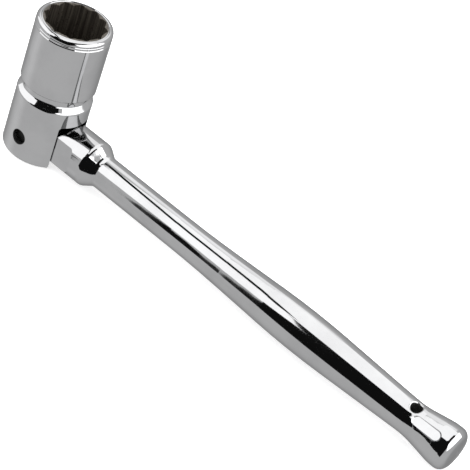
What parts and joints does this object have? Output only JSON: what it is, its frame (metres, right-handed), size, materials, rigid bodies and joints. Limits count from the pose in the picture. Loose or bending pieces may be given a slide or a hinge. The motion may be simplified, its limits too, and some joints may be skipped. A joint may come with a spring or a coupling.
{
  "type": "scaffold ratchet wrench",
  "caption": "Chromed wrench with a deep twelve-point socket on a ratchet, in a yoke that swings on a pin at the end of a round handle with a swelled grip and lanyard hole.",
  "frame": {"origin": "centre of the socket's mouth, on the socket's axis", "axes": "+Z along the socket's axis, out of its mouth; +X along the handle, from the pin to the butt; +Y completes the right-handed set, along the pivot pin"},
  "size_m": [0.2299, 0.031, 0.0614],
  "materials": {
    "chrome_handle": "polished",
    "chrome_yoke": "polished",
    "chrome_socket": "polished",
    "pin_steel": "dark, satin",
    "spring_steel": "blued",
    "washer_steel": "ground",
    "pawl_steel": "hardened, ground",
    "ball_steel": "polished",
    "seal_rubber": "matt"
  },
  "bodies": {
    "handle": {"handle": "chrome_handle"},
    "yoke": {"yoke": "chrome_yoke", "pivot_pin": "pin_steel"},
    "socket": {"drive_socket": "chrome_socket", "seal_ring": "seal_rubber", "thrust_washer": "washer_steel", "retaining_ring": "spring_steel", "friction_ball": "ball_steel", "friction_spring": "spring_steel", "pawl_spring_1": "spring_steel", "pawl_spring_2": "spring_steel", "pawl_spring_3": "spring_steel"},
    "pawl_1": {"pawl_1": "pawl_steel"},
    "pawl_2": {"pawl_2": "pawl_steel"},
    "pawl_3": {"pawl_3": "pawl_steel"}
  },
  "joints": [
    {"name": "handle_swing", "type": "hinge", "parent": "handle", "child": "yoke", "pos_m": [0, 0, -0.0513], "axis": [0, -1, 0], "range_deg": [0, 180]},
    {"name": "ratchet_turn", "type": "hinge", "parent": "yoke", "child": "socket", "pos_m": [0, 0, -0.0284], "axis": [0, 0, 1], "continuous": true},
    {"name": "pawl_1_lift", "type": "hinge", "parent": "socket", "child": "pawl_1", "pos_m": [0.0084, 0, -0.034], "axis": [0, 0, 1], "range_deg": [-13, 0], "stiffness_Nm_per_rad": 0.01, "springref_deg": 17.19, "deforming": ["pawl_spring_1"]},
    {"name": "pawl_2_lift", "type": "hinge", "parent": "socket", "child": "pawl_2", "pos_m": [-0.0042, 0.00728, -0.034], "axis": [0, 0, 1], "range_deg": [-13, 0], "stiffness_Nm_per_rad": 0.01, "springref_deg": 17.19, "deforming": ["pawl_spring_2"]},
    {"name": "pawl_3_lift", "type": "hinge", "parent": "socket", "child": "pawl_3", "pos_m": [-0.0042, -0.00728, -0.034], "axis": [0, 0, 1], "range_deg": [-13, 0], "stiffness_Nm_per_rad": 0.01, "springref_deg": 17.19, "deforming": ["pawl_spring_3"]}
  ]
}
